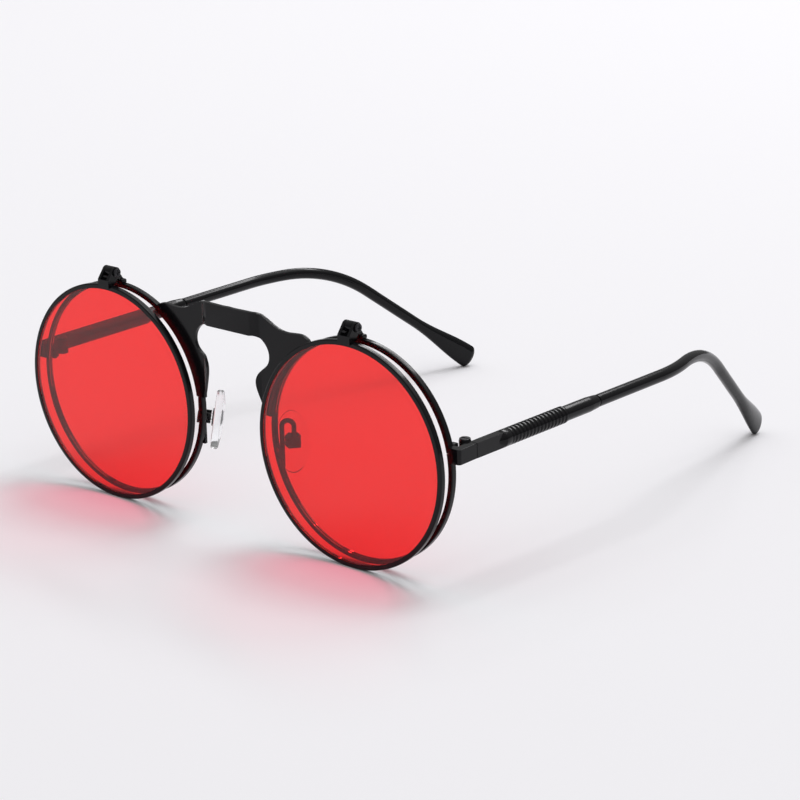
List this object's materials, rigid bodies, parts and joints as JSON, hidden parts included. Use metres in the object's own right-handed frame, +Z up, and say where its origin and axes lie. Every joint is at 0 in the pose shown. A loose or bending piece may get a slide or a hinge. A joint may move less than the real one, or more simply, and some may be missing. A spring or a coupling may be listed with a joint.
{
  "type": "flip-up sunglasses",
  "caption": "Round metal spectacles with clear lenses, hinged red sun lenses that swing up in front, a keyhole bridge plate and folding temples.",
  "frame": {"origin": "on the floor, below the middle of the bounding box", "axes": "+X to the wearer's left, +Y to the back along the open temples, +Z up"},
  "size_m": [0.1324, 0.1522, 0.056],
  "materials": {
    "black_metal": "satin black",
    "screw_steel": "blackened",
    "red_lens": "clear tinted",
    "clear_lens": "clear",
    "tip_plastic": "polished black",
    "silicone": "clear soft"
  },
  "bodies": {
    "frame": {"bridge_plate": "black_metal", "clear_lens_left": "clear_lens", "clear_lens_right": "clear_lens", "end_hinge_left": "black_metal", "end_hinge_right": "black_metal", "end_piece_left": "black_metal", "end_piece_right": "black_metal", "flip_hinge_base_left": "black_metal", "flip_hinge_base_right": "black_metal", "flip_hinge_screws": "screw_steel", "nose_pad_screws": "screw_steel", "pad_arm_left": "black_metal", "pad_arm_right": "black_metal", "pad_box_left": "black_metal", "pad_box_right": "black_metal", "rear_rim_left": "black_metal", "rear_rim_right": "black_metal", "rim_lock_left": "black_metal", "rim_lock_right": "black_metal", "rim_lock_screws": "screw_steel", "temple_hinge_screws": "screw_steel"},
    "flip_left": {"flip_rim_left": "black_metal", "red_lens_left": "red_lens", "flip_hinge_leaf_left": "black_metal"},
    "temple_left": {"temple_shaft_left": "black_metal", "temple_hinge_left": "black_metal", "ribbed_sleeve_left": "black_metal", "temple_collar_left": "black_metal", "temple_tip_left": "tip_plastic"},
    "pad_left": {"nose_pad_left": "silicone"},
    "flip_right": {"flip_rim_right": "black_metal", "red_lens_right": "red_lens", "flip_hinge_leaf_right": "black_metal"},
    "temple_right": {"temple_shaft_right": "black_metal", "temple_hinge_right": "black_metal", "ribbed_sleeve_right": "black_metal", "temple_collar_right": "black_metal", "temple_tip_right": "tip_plastic"},
    "pad_right": {"nose_pad_right": "silicone"}
  },
  "joints": [
    {"name": "flip_up_left", "type": "hinge", "parent": "frame", "child": "flip_left", "pos_m": [0.03655, -0.07352, 0.05478], "axis": [-1, 0, 0], "range_deg": [0, 90]},
    {"name": "temple_fold_left", "type": "hinge", "parent": "frame", "child": "temple_left", "pos_m": [0.06148, -0.06508, 0.03105], "axis": [0, -0.0538, 0.9986], "range_deg": [0, 86]},
    {"name": "pad_rock_left", "type": "hinge", "parent": "frame", "child": "pad_left", "pos_m": [0.01375, -0.06549, 0.02281], "axis": [0.6428, 0.7649, 0.0412], "range_deg": [-5, 5]},
    {"name": "flip_up_right", "type": "hinge", "parent": "frame", "child": "flip_right", "pos_m": [-0.03655, -0.07352, 0.05478], "axis": [-1, 0, 0], "range_deg": [0, 90]},
    {"name": "temple_fold_right", "type": "hinge", "parent": "frame", "child": "temple_right", "pos_m": [-0.06148, -0.06508, 0.03105], "axis": [0, 0.0538, -0.9986], "range_deg": [0, 78]},
    {"name": "pad_rock_right", "type": "hinge", "parent": "frame", "child": "pad_right", "pos_m": [-0.01375, -0.06549, 0.02281], "axis": [-0.6428, 0.7649, 0.0412], "range_deg": [-5, 5]}
  ]
}
